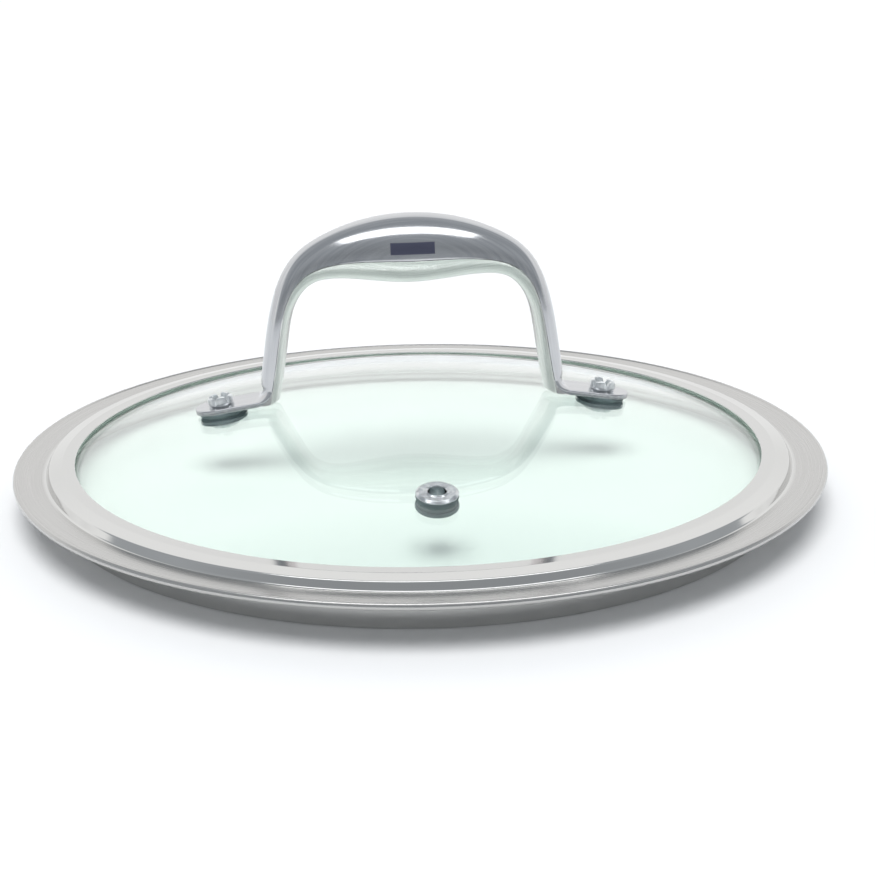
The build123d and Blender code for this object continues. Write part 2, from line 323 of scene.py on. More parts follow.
# finishes
rimFinish = {"steel": (0.55, 0.545, 0.535), "deep": (0.49, 0.485, 0.475), "paintedBeadHighlight": (0.62, 0.62, 0.61),
             "satin": 0.26, "polish": 0.09, "across": 9000.0, "along": 3.0, "cloud": 35.0,
             "beadEdge": (0.0908, 0.0916), "grainRough": 0.12, "cloudRough": 0.05, "beadRough": 0.05,
             "grainScale": 1.0, "grainDepth": 0.06}


def makeRimSteel(settings):
    # satin grain runs round the lid: noise read at (distance, angle) stretched along the angle;
    # the bead over the glass edge is buffed glossier, and its lighter base colour is a painted highlight
    shader = Shader("rimSteel", Metallic=1.0)
    spot, x, y, z = shader.place()
    distance = (x * x + y * y) ** 0.5
    angle = shader.node("ShaderNodeMath", {"operation": "ARCTAN2"}, {0: y, 1: x})
    across = settings["across"]
    drawn = shader.vector(distance * across, angle * settings["along"], z * across)
    grain = shader.noise(drawn, settings["grainScale"], 3.0)
    cloud = shader.noise(spot, settings["cloud"], 2.0)
    bead = 1.0 - distance.band(*settings["beadEdge"])
    colour = shader.blend(grain.band(0.3, 0.7), settings["deep"], settings["steel"])
    # painted highlight: the bead's steel is given a lighter base colour than the flange's
    colour = shader.blend(bead, colour, settings["paintedBeadHighlight"])
    satin = (settings["satin"] + (grain - 0.5) * settings["grainRough"]
             + (cloud - 0.5) * settings["cloudRough"])
    polish = settings["polish"] + (grain - 0.5) * settings["beadRough"]
    shader.feed(shader.surface, {
        "Base Color": colour,
        "Roughness": satin * (1.0 - bead) + polish * bead,
        "Normal": shader.bump(grain, settings["grainDepth"], 0.00002),
    })
    return shader.material


handleFinish = {"steel": (0.56, 0.57, 0.585), "deep": (0.48, 0.49, 0.51), "rough": 0.15,
                "along": 60.0, "across": 2600.0, "cloud": 60.0, "panelRough": 0.42, "panelEdge": 0.0002,
                "panel": (0.12, 0.125, 0.18), "panelBox": (-0.0052, 0.0050, 0.0556, 0.0581)}


def makeHandleSteel(settings, name, panel):
    # polishing lines run along the arch, so the noise is squeezed across it; the maker's plain
    # dark panel sits low on the front of the grip
    shader = Shader(name, Metallic=1.0)
    spot, x, y, z = shader.place()
    along = settings["along"]
    lines = shader.noise(shader.vector(x * along, y * settings["across"], z * along), 1.0, 3.0)
    cloud = shader.noise(spot, settings["cloud"], 2.0)
    colour = shader.blend(lines.band(0.3, 0.7), settings["deep"], settings["steel"])
    rough = settings["rough"] + (lines - 0.5) * 0.10 + (cloud - 0.5) * 0.04
    if panel:
        left, right, low, high = settings["panelBox"]
        edge = settings["panelEdge"]
        inside = (x.band(left - edge, left) * (1.0 - x.band(right, right + edge))
                  * z.band(low - edge, low) * (1.0 - z.band(high, high + edge)) * (y < 0.0))
        colour = shader.blend(inside, colour, settings["panel"])
        rough = rough * (1.0 - inside) + settings["panelRough"] * inside
    shader.feed(shader.surface, {
        "Base Color": colour,
        "Roughness": rough,
        "Normal": shader.bump(lines, 0.05, 0.00002),
    })
    return shader.material


def makePartSteel(name, steel, rough):
    # small turned parts: a fine mottle in colour and gloss
    shader = Shader(name, Metallic=1.0)
    spot = shader.place()[0]
    mottle = shader.noise(spot, 900.0, 3.0)
    dark = tuple(0.8 * value for value in steel)
    shader.feed(shader.surface, {
        "Base Color": shader.blend(mottle.band(0.3, 0.7), dark, steel),
        "Roughness": rough + (mottle - 0.5) * 0.12,
        "Normal": shader.bump(mottle, 0.12, 0.00005),
    })
    return shader.material


def makeSilicone(name, colour, rough):
    # matt rubber with a faint cloud and a fine moulded grain
    shader = Shader(name, Specular_IOR_Level=0.4)
    spot = shader.place()[0]
    cloud = shader.noise(spot, 120.0, 2.0)
    grain = shader.noise(spot, 4000.0, 2.0)
    dark = tuple(0.82 * value for value in colour)
    shader.feed(shader.surface, {
        "Base Color": shader.blend(cloud.band(0.3, 0.7), dark, colour),
        "Roughness": rough + (grain - 0.5) * 0.15,
        "Normal": shader.bump(grain, 0.1, 0.00004),
    })
    return shader.material


glassFinish = {"tint": (0.92, 0.965, 0.94), "shade": (0.90, 0.955, 0.93), "clear": (0.95, 0.995, 0.965)}


def makeGlass(settings):
    # clear tempered glass with a pale green tint; where the ray is a shadow or a scattered one the
    # larger of the two flags, 1, picks the plain see-through shader instead
    shader = Shader("temperedGlass", Transmission_Weight=1.0, IOR=1.5)
    spot = shader.place()[0]
    cloud = shader.noise(spot, 18.0, 2.0)
    smear = shader.noise(spot, 60.0, 3.0)
    shader.feed(shader.surface, {
        "Base Color": shader.blend(cloud.band(0.3, 0.7), settings["tint"], settings["shade"]),
        "Roughness": smear.band(0.45, 0.9) * 0.02,
    })
    clear = shader.node("ShaderNodeBsdfTransparent", None, {"Color": settings["clear"]})
    shadowRay = shader.node("ShaderNodeLightPath", output="Is Shadow Ray")
    scattered = shader.node("ShaderNodeLightPath", output="Is Diffuse Ray")
    straight = shadowRay.join("MAXIMUM", shadowRay, scattered)
    body = Wire(shader, shader.surface.outputs[0])
    mixed = shader.node("ShaderNodeMixShader", None, {0: straight, 1: body, 2: clear})
    shader.tree.links.new(mixed.socket, shader.output.inputs["Surface"])
    return shader.material


rimSteel = makeRimSteel(rimFinish)
gripSteel = makeHandleSteel(handleFinish, "gripSteel", True)
# the under shell's steel is a lighter copy of the grip steel: painted reflection of the bright table below it
innerSteelPaintedReflection = makeHandleSteel({**handleFinish, "steel": (0.74, 0.71, 0.72), "deep": (0.64, 0.615, 0.62)},
                             "innerSteelPaintedReflection", False)
rivetSteel = makePartSteel("rivetSteel", (0.88, 0.91, 0.92), 0.34)
ventSteel = makePartSteel("ventSteel", (0.66, 0.69, 0.71), 0.20)
washerSteel = makePartSteel("washerSteel", (0.50, 0.53, 0.54), 0.3)
washerRubber = makeSilicone("washerRubber", (0.16, 0.20, 0.215), 0.5)
sealRubber = makeSilicone("sealRubber", (0.42, 0.47, 0.44), 0.55)
glassMaterial = makeGlass(glassFinish)
print("finishes made")

# glass dome
glass = {"edgeRound": 0.8, "rings": 60, "segments": 240, "drillAbove": 8, "drillBelow": 12,
         "facing": 0.97, "near": 2e-5}


def domeNormals(piece):
    # a corner on either sphere takes the sphere's own direction; any other keeps its face's
    mesh = piece.data
    corners = np.zeros(len(mesh.loops), dtype=int)
    mesh.loops.foreach_get("vertex_index", corners)
    points = np.zeros(len(mesh.vertices) * 3)
    mesh.vertices.foreach_get("co", points)
    points = points.reshape(-1, 3)[corners]
    sizes = np.zeros(len(mesh.polygons), dtype=int)
    mesh.polygons.foreach_get("loop_total", sizes)
    facing = np.zeros(len(mesh.polygons) * 3)
    mesh.polygons.foreach_get("normal", facing)
    facing = np.repeat(facing.reshape(-1, 3), sizes, 0)
    radial = points - np.array([0, 0, domeCentre * mm])
    reach = np.linalg.norm(radial, axis=1)
    radial /= reach[:, None]
    lined = (radial * facing).sum(1)
    onOuterSphere = np.abs(reach - lid["domeRadius"] * mm) < glass["near"]
    onInnerSphere = np.abs(reach - innerRadius * mm) < glass["near"]
    onSphere = (np.abs(lined) > glass["facing"]) & (onOuterSphere | onInnerSphere)
    normals = np.zeros(len(mesh.loops) * 3)
    mesh.corner_normals.foreach_get("vector", normals)
    normals = normals.reshape(-1, 3)
    normals = np.where(onSphere[:, None], radial * np.sign(lined)[:, None], normals)
    mesh.normals_split_custom_set(normals.tolist())


def makeGlassDome(settings):
    # two spheres a wall apart, joined by a ground edge; then three holes are cut through
    edge, corner = lid["glassRadius"], settings["edgeRound"]
    across = np.linspace(0, edge - corner, settings["rings"])
    turn = np.linspace(0, pi / 2, 6)
    topEdge = domeHeight(lid["domeRadius"], edge - corner)
    lowEdge = domeHeight(innerRadius, edge - corner)
    top = np.stack([across, domeHeight(lid["domeRadius"], across)], -1)
    flat = edge - corner
    topCorner = np.stack([flat + corner * np.sin(turn), topEdge - corner + corner * np.cos(turn)], -1)
    lowCorner = np.stack([flat + corner * np.cos(turn), lowEdge + corner - corner * np.sin(turn)], -1)
    low = np.stack([across, domeHeight(innerRadius, across)], -1)[::-1]
    profile = np.concatenate([top, topCorner[1:], lowCorner[:-1], low])
    dome = latheSolid("glassDome", profile, None, settings["segments"], 50)
    cutters = []
    above, below = settings["drillAbove"], settings["drillBelow"]
    for place, radius in ((footPlaces["left"], lid["bushRadius"]), (footPlaces["right"], lid["bushRadius"]),
                          (ventPlace, lid["ventHole"])):
        drill = [(0, above), (radius, above), (radius, -below), (0, -below)]
        cutters.append(latheSolid("drill", np.array(drill, dtype=float), place, 96))
        cut = dome.modifiers.new("drill", "BOOLEAN")
        cut.operation, cut.solver, cut.object = "DIFFERENCE", "EXACT", cutters[-1]
    bpy.context.view_layer.update()
    shaped = bpy.data.meshes.new_from_object(dome.evaluated_get(bpy.context.evaluated_depsgraph_get()))
    dome.modifiers.clear()
    dome.data = shaped
    shaped.name = "glassDome"
    for cutter in cutters:
        bpy.data.objects.remove(cutter)
    smoothMesh(shaped, 50)
    domeNormals(dome)
    return dome


settle(makeGlassDome(glass), "glass", glassMaterial, "glass_dome")
print("glass dome cut")

# rim band and its seal
rim = {
    "skirt": 89.5, "sheet": 0.5, "lip": 98.0, "hem": 0.7, "flangeLow": 7.75,
    "tipUnder": 9.23, "crownStart": 86.7, "crownEnd": 89.7, "crownTop": 9.9, "stepFoot": 90.6,
    "footTop": 8.0, "crownFall": 0.35, "ledge": 84.4, "ledgeTop": 4.116, "ledgeRoot": 2.8, "lean": 0.1,
    "slope": 0.22, "hemStart": 0.62, "stepInside": 0.4,
}


def makeRimBand(s):
    # one strip folded over the glass edge, out to the rolled lip, back under and down the skirt
    hemCentre, hemHeight = s["lip"] - s["hem"], s["flangeLow"] + s["hem"]
    turn = np.linspace(radians(155), radians(-90), 22)
    hem = np.stack([hemCentre + s["hem"] * np.cos(turn), hemHeight + s["hem"] * np.sin(turn)], -1)
    hem = hem[hem[:, 0] > hemCentre - s["hemStart"]]
    under = s["skirt"] - 2 * s["sheet"]
    corners = [
        (s["tipRadius"], s["tipUnder"] + s["sheet"], 0.22),
        (s["crownStart"], s["crownTop"], 1.2), (s["crownEnd"], s["crownTop"] - s["crownFall"], 0.5),
        (s["stepFoot"], s["footTop"], 0.45),
        *[(across, up, 0) for across, up in hem],
        (s["skirt"], s["flangeLow"], 0.9), (s["skirt"], 0, 0.35), (under, 0, 0.12),
        (under, s["ledgeRoot"] - s["sheet"], 0.5), (s["ledge"], s["ledgeTop"] - s["sheet"], 0.2),
        (s["ledge"], s["ledgeTop"], 0.2), (s["skirt"] - s["sheet"] - s["lean"], s["ledgeRoot"], 0.1),
        (s["skirt"] - s["sheet"], s["footTop"] - s["sheet"], 0.1),
        (s["stepFoot"] - s["slope"], s["footTop"] - s["stepInside"], 0.1),
        (s["crownEnd"] - s["slope"], s["crownTop"] - s["crownFall"] - s["sheet"], 0.3),
        (s["crownStart"], s["crownTop"] - s["sheet"], 0.8), (s["tipRadius"], s["tipUnder"], 0.2),
    ]
    return lathe("rimBand", roundedLoop(corners, 6), segments=384, crease=32)


settle(makeRimBand({**rim, **lid}), "rim_steel", rimSteel, "rim_band")


seal = {"hair": 0.01, "gap": 0.02, "crownGap": 0.03, "inset": 0.05, "start": 0.15, "end": 0.3, "toe": 0.1}


def makeRimSeal(s):
    # fills the folded channel over the glass edge, round it and down to the ledge, a hair off each
    hair, gap, inset = s["hair"], s["gap"], s["inset"]
    rounding = glass["edgeRound"]
    top = [(across, float(domeHeight(s["domeRadius"], across)) + hair, 0)
           for across in np.linspace(s["tipRadius"] + s["start"], s["glassRadius"] - rounding, 8)]
    low = [(across, float(domeHeight(innerRadius, across)) - hair, 0)
           for across in np.linspace(s["glassRadius"] - rounding, s["ledge"] + s["end"], 8)]
    wall = s["skirt"] - s["sheet"] - gap
    crown = s["crownTop"] - s["sheet"] - s["crownGap"]
    corners = [
        (s["tipRadius"] + inset, s["tipUnder"] - gap, 0), (s["crownStart"], crown, 0),
        (s["crownEnd"] - s["slope"] - inset, crown, 0),
        (wall, s["footTop"] - s["sheet"] - inset, 0), (wall - s["lean"], s["ledgeRoot"] + gap, 0),
        (s["ledge"] + s["toe"], s["ledgeTop"] + gap, 0), *low[::-1],
        (s["glassRadius"] + gap, low[0][1] + rounding, 0),
        (s["glassRadius"] + gap, top[-1][1] - rounding, 0), *top[::-1],
    ]
    return lathe("rimSeal", roundedLoop(corners), crease=30)


settle(makeRimSeal({**rim, **lid, **seal}), "seal_silicone", sealRubber, "rim_seal")
print("rim folded")

# arch handle
handle = {
    "gripHalfWidth": 10.5, "legHalfWidth": 5.5, "gripRise": 10.1, "legRise": 3.4, "gripSag": 6.4,
    "legSag": 2.1,
    "swell": 38.0, "setback": 12.3, "bend": 5.2, "endReach": 1.1, "tabHalfWidth": 5.5, "seam": 0.08,
    "columns": 41, "underColumns": 15, "trim": 0.02, "topLip": 0.12, "lowLip": 0.14, "lowWall": 0.10,
    "tabEdge": 0.35, "lowEnd": 0.985, "footRun": 9.0, "footDrop": 0.9, "crest": 37.6,
    "fineSteps": 400, "legSteps": 110, "bendSteps": 25, "noEnd": 99.0,
}
footHeight = float(domeHeight(lid["domeRadius"], lid["rivetDistance"]))
halfSpan = lid["rivetDistance"] - handle["setback"]
seamPoints = [(0, 3.2), (1.9, 12.6), (3.8, 22.9), (6.0, 29.3), (10.3, 34.4), (17.0, 36.9)]


def smoothSpline(knots, values, at):
    # natural cubic through the knots: second slopes from the usual three-term equations
    steps = np.diff(knots)
    count = len(knots)
    system = np.eye(count)
    right = np.zeros((count, values.shape[1]))
    for row in range(1, count - 1):
        system[row, row - 1:row + 2] = steps[row - 1], 2 * (steps[row - 1] + steps[row]), steps[row]
        right[row] = 6 * ((values[row + 1] - values[row]) / steps[row]
                          - (values[row] - values[row - 1]) / steps[row - 1])
    curve = np.linalg.solve(system, right)
    cell = np.clip(np.searchsorted(knots, at) - 1, 0, count - 2)
    step = steps[cell][:, None]
    ahead, behind = (knots[cell + 1] - at)[:, None] / step, (at - knots[cell])[:, None] / step
    return (ahead * values[cell] + behind * values[cell + 1]
            + ((ahead ** 3 - ahead) * curve[cell] + (behind ** 3 - behind) * curve[cell + 1]) * step ** 2 / 6)


def archPath(s):
    # right half from mid grip: seam spline down the leg, a straight run, an arc of the bend radius
    # and the flat tab; each row gives x, z, the tangent, the station kind and the arc's own angle
    right = np.array([(halfSpan - inset, footHeight + up) for inset, up in seamPoints])
    seam = np.concatenate([right * (-1, 1), [(0, footHeight + s["crest"])], right[::-1]])
    chords = np.concatenate([[0], np.cumsum(np.linalg.norm(np.diff(seam, axis=0), axis=1))])
    fine = smoothSpline(chords, seam, np.linspace(chords[-1] / 2, chords[-1], s["fineSteps"]))
    lengths = np.concatenate([[0], np.cumsum(np.linalg.norm(np.diff(fine, axis=0), axis=1))])
    place = footPlaces["right"]
    origin, away, normal = place[[0, 2], 3], place[[0, 2], 0], place[[0, 2], 2]
    seat = origin + normal * lid["washer"]
    tangent = fine[-1] - fine[-2]
    tangent /= np.linalg.norm(tangent)
    # angle between the leg and the tab, and the tangent length of the arc that joins them
    turning = np.arccos(np.clip(tangent @ away, -1, 1))
    reach = s["bend"] * np.tan(turning / 2)
    # where the leg's line meets the tab's underside
    meet = fine[-1] + tangent * ((seat - fine[-1]) @ normal) / (tangent @ normal)
    legEnd = meet - tangent * reach
    tabStart = meet + away * reach
    outward = np.array([-tangent[1], tangent[0]])
    centre = legEnd + outward * s["bend"]
    angles = np.linspace(0, turning, s["bendSteps"])
    cosine, sine = np.cos(angles)[:, None], np.sin(angles)[:, None]
    arc = centre - s["bend"] * (outward * cosine - tangent * sine)
    tabEnd = seat + away * (s["endReach"] + s["tabHalfWidth"])
    flatLength = (tabEnd - tabStart) @ away
    steps = np.concatenate([np.linspace(0, flatLength - s["tabHalfWidth"], 12)[1:],
                            flatLength - s["tabHalfWidth"] * (1 - np.sin(np.linspace(0, pi / 2, 16)[1:]))])
    flat = tabStart + away * steps[:, None]
    places = np.linspace(0, lengths[-1], s["legSteps"])
    legs = np.stack([np.interp(places, lengths, fine[:, 0]), np.interp(places, lengths, fine[:, 1])], -1)
    legNormal = np.gradient(legs, axis=0)
    legNormal /= np.linalg.norm(legNormal, axis=1)[:, None]
    straight = np.linspace(legs[-1], legEnd, 4)[1:-1] if (legEnd - legs[-1]) @ tangent > 0.3 else legs[:0]
    keep = (legs - legEnd) @ tangent < -0.05
    keep[: len(keep) // 2] = True
    legs, legNormal, places = legs[keep], legNormal[keep], places[keep]
    spine = np.concatenate([legs, straight, arc, flat])
    tangents = np.concatenate([legNormal, np.repeat(tangent[None], len(straight), 0),
                               tangent * cosine + outward * sine, np.repeat(away[None], len(flat), 0)])
    runs = np.concatenate([[0], np.cumsum(np.linalg.norm(np.diff(spine, axis=0), axis=1))])
    bent = np.concatenate([np.zeros(len(legs) + len(straight)), angles, np.full(len(flat), turning)])
    ending = np.concatenate([np.full(len(legs) + len(straight) + len(arc), s["noEnd"]), flatLength - steps])
    return spine, tangents, runs, bent, ending, turning, lengths[-1]


def handleSections(s):
    # half of the arch, mirrored so that it runs from the left tab's end to the right tab's end; the
    # width, rise and sag ease from grip to leg by half of 1 + cos(pi run / swell)
    spine, tangents, runs, bent, ending, turning, seamHalf = archPath(s)
    swell = 0.5 * (1 + np.cos(pi * np.minimum(runs / s["swell"], 1)))
    toFoot = np.clip((runs - (seamHalf - s["footRun"])) / s["footRun"], 0, 1)
    flatten = np.clip(bent / turning, 0, 1)
    flatten = flatten * flatten * (3 - 2 * flatten)
    halfWidth = s["legHalfWidth"] + (s["gripHalfWidth"] - s["legHalfWidth"]) * swell
    rise = s["legRise"] + (s["gripRise"] - s["legRise"]) * swell - s["footDrop"] * toFoot ** 2
    sag = s["legSag"] + (s["gripSag"] - s["legSag"]) * swell
    rounding = np.clip(s["tabHalfWidth"] - ending, 0, s["tabHalfWidth"])
    rounded = np.sqrt(np.maximum(s["tabHalfWidth"] ** 2 - rounding ** 2, 0.0004))
    halfWidth = np.where(ending < s["noEnd"], rounded, halfWidth)
    rows = dict(spine=spine, tangent=tangents, width=halfWidth, rise=rise, sag=sag, flatten=flatten,
                bent=bent)
    mirrored = {}
    for key, values in rows.items():
        other = values[:0:-1].copy()
        if key == "spine":
            other[:, 0] *= -1
        if key == "tangent":
            other[:, 1] *= -1
        mirrored[key] = np.concatenate([other, values])
    return mirrored, turning


def arcHeight(across, halfWidth, height):
    # circle through both edges and the crest, above the chord
    radius = (halfWidth ** 2 + height ** 2) / (2 * height)
    return np.sqrt(np.maximum(radius ** 2 - across ** 2, 0)) - (radius - height)


def sweepHandle(name, rows, loopAcross, loopUp):
    # grid of sections: spine point + sideways * y + outward normal * height, ends closed flat
    outward = np.stack([-rows["tangent"][:, 1], rows["tangent"][:, 0]], -1)
    x = rows["spine"][:, 0, None] + outward[:, 0, None] * loopUp
    z = rows["spine"][:, 1, None] + outward[:, 1, None] * loopUp
    points = np.stack([x, loopAcross, z], -1)
    count, ring = loopAcross.shape
    ends = points[[0, -1]].mean(1)
    flatPoints = np.concatenate([points.reshape(-1, 3), ends])
    quads = gridFaces(count, ring, False, True)
    faces = np.concatenate([quads[:, [0, 1, 2]], quads[:, [0, 2, 3]]])
    edge = np.arange(ring)
    after = (edge + 1) % ring
    last = (count - 1) * ring
    fans = [np.stack([np.full(ring, len(flatPoints) - 2), edge, after], -1),
            np.stack([np.full(ring, len(flatPoints) - 1), last + after, last + edge], -1)]
    return closedMesh(name, flatPoints, np.concatenate([faces, *fans]), 32)


def makeTopShell(s):
    # pressed outer shell: an arc over the seam on the arch, a flat strip with rounded edges on the tab
    rows = handleSections(s)[0]
    spread = np.linspace(-pi / 2, pi / 2, s["columns"])
    share = np.sin(spread)[None, :]
    width, rise, flatten = (rows[key][:, None] for key in ("width", "rise", "flatten"))
    across = share * width
    edge = s["tabEdge"]
    past = np.clip((np.abs(across) - (width - edge)) / edge, 0, 1)
    strip = lid["tab"] - edge * (1 - np.sqrt(1 - past ** 2))
    up = arcHeight(across, width, np.maximum(rise, 0.2)) * (1 - flatten) + strip * flatten
    # near the seam the wall stands on a short upright lip before it arches over
    low = np.linspace(1, -1, s["underColumns"])[None, :]
    underAcross = low * (width - s["trim"])
    under = np.zeros_like(underAcross)
    loopAcross = np.concatenate([across, underAcross], 1)
    loopUp = np.concatenate([np.maximum(up, s["topLip"]), under], 1)
    return sweepHandle("handleTopShell", rows, loopAcross, loopUp)


def makeBottomShell(s):
    # pressed inner shell: an arc under the seam; at the foot it fills the corner between leg and tab
    rows, turning = handleSections(s)
    keep = rows["bent"] <= turning * s["lowEnd"]
    rows = {key: values[keep] for key, values in rows.items()}
    spread = np.linspace(-pi / 2, pi / 2, s["columns"])
    share = np.sin(spread)[None, :]
    width, sag, bent = (rows[key][:, None] for key in ("width", "sag", "bent"))
    across = share * width
    depth = arcHeight(across, width, sag) + s["lowWall"]
    # corner square to the leg and the tab: distance from the bend's centre to the nearer of two walls
    legWall = (s["bend"] + depth) / np.maximum(np.cos(bent), 1e-3)
    tabWall = s["bend"] / np.maximum(np.cos(np.minimum(turning - bent, 1.5)), 1e-3)
    square = np.minimum(legWall, tabWall) - s["bend"]
    depth = np.where(bent > 0, np.maximum(square, 0.02), depth)
    low = np.linspace(1, -1, s["underColumns"])[None, :]
    underAcross = low * (width - s["trim"])
    under = np.zeros_like(underAcross) - s["seam"]
    under = np.where(rows["bent"][:, None] > 0, 0.02, under)
    loopAcross = np.concatenate([across, underAcross], 1)
    loopUp = np.concatenate([-np.maximum(depth, s["lowLip"]), under], 1)
    return sweepHandle("handleBottomShell", rows, loopAcross, loopUp)


settle(makeTopShell(handle), "handle_steel", gripSteel, "handle_top_shell")
settle(makeBottomShell(handle), "handle_steel", innerSteelPaintedReflection, "handle_bottom_shell")
print("handle pressed")

# rivets, sleeves and washers
fixing = {"shank": 2.4, "bore": 1.5, "crimp": 3.25, "crimpHeight": 2.4, "petals": 5, "upper": 5.8,
          "lower": 6.0, "backing": 4.0, "backingThickness": 0.5, "head": 3.6, "headHeight": 0.7,
          "gap": 0.05, "press": 0.03,
          "petalTurn": 0.35, "cutWidth": 0.6, "cutDepth": 0.55, "uneven": 0.10, "cutLean": 0.45,
          "flare": 0.55}


def onOuter(distance):
    # how far the outer glass face falls below its tangent plane; rubber is pressed into it a hair
    return -distance ** 2 / (2 * lid["domeRadius"]) - fixing["press"]


def onInner(distance):
    # the inner glass face, seen from the same plane
    return -lid["glassThickness"] - distance ** 2 / (2 * innerRadius) + fixing["press"]


def ring(name, inside, outside, low, high, place, bulge=0.25, segments=96):
    # flat ring with a rounded edge; low and high are functions of the distance
    corners = [(inside, low(inside), 0.05), (outside, low(outside), bulge), (outside, high(outside), bulge),
               (inside, high(inside), 0.05)]
    return lathe(name, roundedLoop(corners, 5), place, segments)


def petals(distance, height, angle):
    # the split tube end: V cuts where |sin(petals a / 2)| is small lower the top, and the petals
    # between them lean out and stand unevenly by a sum of two sines
    s = fixing
    foot = lid["washer"] + lid["tab"]
    risen = np.clip((height - foot) / s["crimpHeight"], 0, 1)
    wave = np.abs(np.sin(angle * s["petals"] / 2 + s["petalTurn"]))
    cut = np.clip(1 - wave / s["cutWidth"], 0, 1)
    uneven = 0.5 * np.sin(angle * 2 + 1.0) + 0.5 * np.sin(angle * 5 + 2.0)
    outer = np.clip((distance - s["bore"]) / (s["crimp"] - s["bore"]), 0, 1)
    height = height - risen * s["crimpHeight"] * (s["cutDepth"] * cut + s["uneven"] * (1 + uneven))
    leaned = s["cutLean"] * cut + s["uneven"] * (1 - uneven)
    distance = distance - risen * outer * leaned + risen * (1 - outer) * s["flare"] * (1 - cut)
    return distance, height


def makeRivet(side):
    # tubular rivet: flat factory head below, drilled shank, flared and split end on the tab
    s = fixing
    foot = lid["washer"] + lid["tab"]
    backing = -lid["glassThickness"] - lid["washer"] - s["backingThickness"]
    top = foot + s["crimpHeight"]
    corners = roundedLoop([
        (s["bore"], backing, 0), (s["bore"], top - 0.3, 0.3), (s["bore"] + 0.3, top, 0.25),
        (s["crimp"] - 0.1, top, 0.5), (s["crimp"], foot + 0.75, 0.4), (s["crimp"] - 0.35, foot, 0.1),
        (s["shank"], foot, 0), (s["shank"], backing, 0), (s["head"], backing, 0.15),
        (s["head"], backing - s["headHeight"], 0.3), (0.5, backing - s["headHeight"], 0),
    ], 6)
    profile = np.concatenate([[(0, backing)], corners, [(0, backing - s["headHeight"])]])
    return latheSolid("rivet" + side.capitalize(), profile, footPlaces[side], 144, 30, petals)


for side in ("left", "right"):
    title = side.capitalize()
    place = footPlaces[side]
    hole = fixing["shank"] + fixing["gap"]
    glassUnder = -lid["glassThickness"]
    settle(makeRivet(side), "fastener_steel", rivetSteel, "rivet_" + side)
    settle(ring("upperWasher" + title, hole, fixing["upper"], onOuter, lambda r: lid["washer"], place, 0.3),
           "washer_silicone", washerRubber, "upper_washer_" + side)
    settle(ring("lowerWasher" + title, hole, fixing["lower"], lambda r: glassUnder - lid["washer"], onInner,
                place, 0.3), "washer_silicone", washerRubber, "lower_washer_" + side)
    settle(ring("backingWasher" + title, hole, fixing["backing"],
                lambda r: glassUnder - lid["washer"] - fixing["backingThickness"],
                lambda r: glassUnder - lid["washer"], place, 0.2),
           "fastener_steel", washerSteel, "backing_washer_" + side)
    settle(ring("rivetBush" + title, hole, lid["bushRadius"] + fixing["press"], onInner, onOuter,
                place, 0.02, 72), "washer_silicone", washerRubber, "rivet_bush_" + side)
print("handle riveted")

# steam vent
vent = {"hole": 1.85, "tube": 2.3, "flange": 4.5, "flangeThickness": 0.8, "lip": 0.5, "inset": 0.05,
        "collar": 4.5, "roll": 3.3, "rollThickness": 0.6, "slip": 0.01}


def makeVentEyelet(s):
    # rolled flange with a domed face, straight tube, and the end rolled out under the collar
    low = -lid["glassThickness"] - lid["washer"]
    top = s["lip"] + s["flangeThickness"]
    corners = [
        (s["hole"], top - 0.25, 0.15), (s["hole"] + 0.22, top, 0.12), (s["hole"] + 0.62, top - 0.26, 0.2),
        (s["flange"] - 0.72, top - 0.2, 0.25), (s["flange"] - 0.04, s["lip"] + 0.16, 0.12),
        (s["flange"] - 0.12, s["lip"], 0.05), (s["tube"], s["lip"], 0.05),
        (s["tube"], low, 0.05), (s["roll"], low, 0.25), (s["roll"], low - s["rollThickness"], 0.28),
        (s["hole"], low - s["rollThickness"], 0.3),
    ]
    return lathe("ventEyelet", roundedLoop(corners, 7), ventPlace, 160, 30)


def makeVentSeal(s):
    # grommet: thin lip on the glass and a sleeve through it
    lip, sleeve = s["flange"] - s["inset"], lid["ventHole"] + fixing["press"]
    corners = [(s["tube"] + s["slip"], s["lip"], 0), (lip - 0.1, s["lip"], 0),
               (lip - 0.12, s["lip"] * 0.55, 0.15),
               (lip, float(onOuter(lip)), 0.05), (sleeve, float(onOuter(sleeve)), 0),
               (sleeve, float(onInner(sleeve)), 0), (s["tube"] + s["slip"], float(onInner(s["tube"])), 0)]
    return lathe("ventSeal", roundedLoop(corners, 5), ventPlace, 128, 30)


settle(makeVentEyelet(vent), "fastener_steel", ventSteel, "vent_eyelet")
settle(makeVentSeal(vent), "washer_silicone", washerRubber, "vent_seal")
settle(ring("ventCollar", vent["tube"] + vent["slip"], vent["collar"],
            lambda r: -lid["glassThickness"] - lid["washer"], onInner, ventPlace, 0.25),
       "fastener_steel", washerRubber, "vent_collar")
print("vent fitted")

# floor and light
# the sky ring by angle from the far horizon, up over the lid and down to the viewer's side, in degrees
studio = {"floorSize": 12.0, "floor": (0.90, 0.905, 0.91),
          "sky": [(0, 1.04), (8, 1.02), (13, 1.10), (19, 1.02), (27, 1.12), (43, 1.16), (53, 0.50),
                  (84, 0.48), (120, 0.50), (150, 0.38), (180, 0.48)],
          "blue": 0.05}


def makeFloor(settings):
    # a square of the floor size each way at z = 0, pale, under the lid
    size = settings["floorSize"]
    mesh = bpy.data.meshes.new("studioFloor")
    square = [(-size, -size, 0), (size, -size, 0), (size, size, 0), (-size, size, 0)]
    mesh.from_pydata(square, [], [(0, 1, 2, 3)])
    floor = bpy.data.objects.new("studioFloor", mesh)
    bpy.context.scene.collection.objects.link(floor)
    shader = Shader("paleTable", Roughness=0.9, Specular_IOR_Level=0.0)
    spot = shader.place()[0]
    shade = tuple(0.99 * value for value in settings["floor"])
    mottled = shader.blend(shader.noise(spot, 4.0), settings["floor"], shade)
    shader.feed(shader.surface, {"Base Color": mottled})
    mesh.materials.append(shader.material)


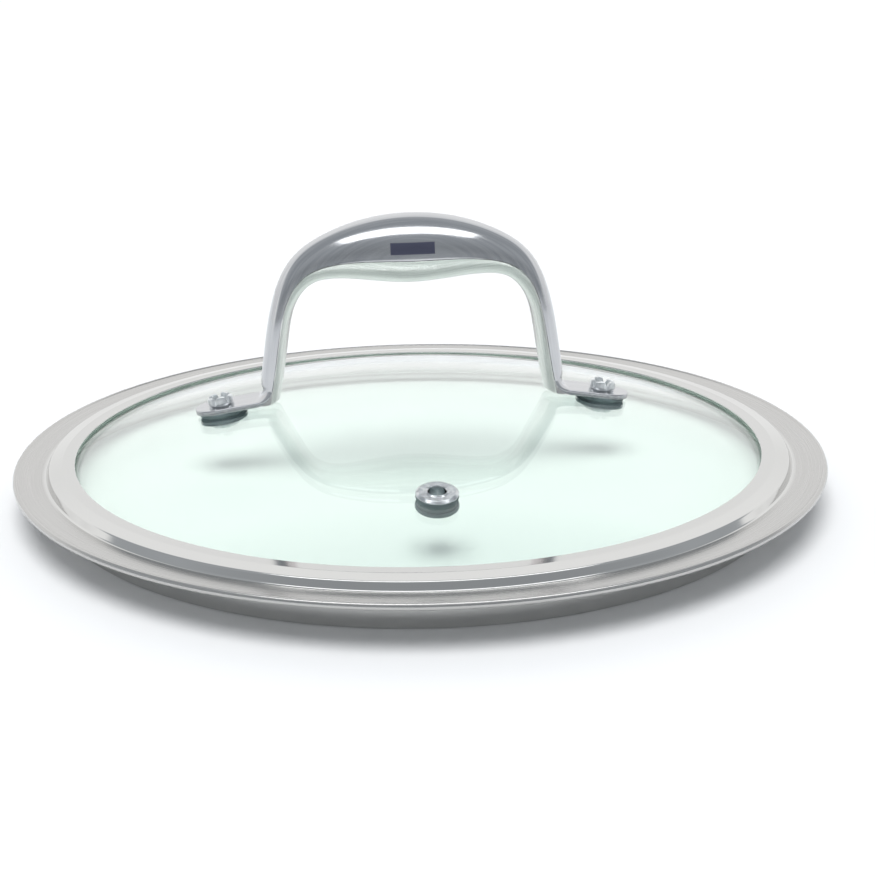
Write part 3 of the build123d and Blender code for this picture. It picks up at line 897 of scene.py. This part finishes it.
def makeWorld(settings):
    # brightness follows the angle atan2(z, y) about the handle's line, far side 0, near side pi
    world = bpy.data.worlds.new("studioWorld")
    world.use_nodes = True
    bpy.context.scene.world = world
    tree = world.node_tree
    tree.nodes.clear()
    spot, split, angle, turn, ramp, back, out = (tree.nodes.new(kind) for kind in (
        "ShaderNodeTexCoord", "ShaderNodeSeparateXYZ", "ShaderNodeMath", "ShaderNodeMath",
        "ShaderNodeValToRGB", "ShaderNodeBackground", "ShaderNodeOutputWorld"))
    angle.operation, turn.operation = "ARCTAN2", "DIVIDE"
    turn.inputs[1].default_value = pi
    turn.use_clamp = True
    stops = ramp.color_ramp.elements
    while len(stops) < len(settings["sky"]):
        stops.new(0.5)
    for stop, (degrees, level) in zip(stops, settings["sky"]):
        stop.position = degrees / 180
        cool = settings["blue"] * (degrees > 45)
        stop.color = (level * (1 - cool), level, level * (1 + cool), 1)
    tree.links.new(spot.outputs["Generated"], split.inputs[0])
    tree.links.new(split.outputs["Z"], angle.inputs[0])
    tree.links.new(split.outputs["Y"], angle.inputs[1])
    tree.links.new(angle.outputs[0], turn.inputs[0])
    tree.links.new(turn.outputs[0], ramp.inputs[0])
    tree.links.new(ramp.outputs[0], back.inputs[0])
    tree.links.new(back.outputs[0], out.inputs[0])


def addSun(name, lean, strength, spread):
    # broad soft light on the table and rubber only, left out of every reflection
    lamp = bpy.data.lights.new(name, "SUN")
    lamp.energy, lamp.angle = strength, radians(spread)
    holder = bpy.data.objects.new(name, lamp)
    holder.matrix_world = (-Vector(lean)).to_track_quat("-Z", "Y").to_matrix().to_4x4()
    holder.visible_glossy = False
    bpy.context.scene.collection.objects.link(holder)


def addSoftbox(name, spot, aim, size, power):
    # a broad area lamp at a spot, facing its aim, seen as a highlight and left out of the table's light
    lamp = bpy.data.lights.new(name, "AREA")
    lamp.shape, lamp.size, lamp.size_y = "RECTANGLE", size[0], size[1]
    lamp.energy = power
    holder = bpy.data.objects.new(name, lamp)
    toward = Vector(aim) - Vector(spot)
    holder.matrix_world = Matrix.Translation(spot) @ toward.to_track_quat("-Z", "Y").to_matrix().to_4x4()
    holder.visible_diffuse = False
    bpy.context.scene.collection.objects.link(holder)


makeFloor(studio)
makeWorld(studio)
addSoftbox("overheadBox", (0.02, -0.075, 0.42), (0.02, -0.07, 0), (0.46, 0.14), 0.55)
addSun("skylight", (-0.06, -0.16, 1.0), 2.0, 42)
bpy.context.scene.view_settings.view_transform = "Standard"
bpy.context.scene.view_settings.look = "None"
print("studio lit")
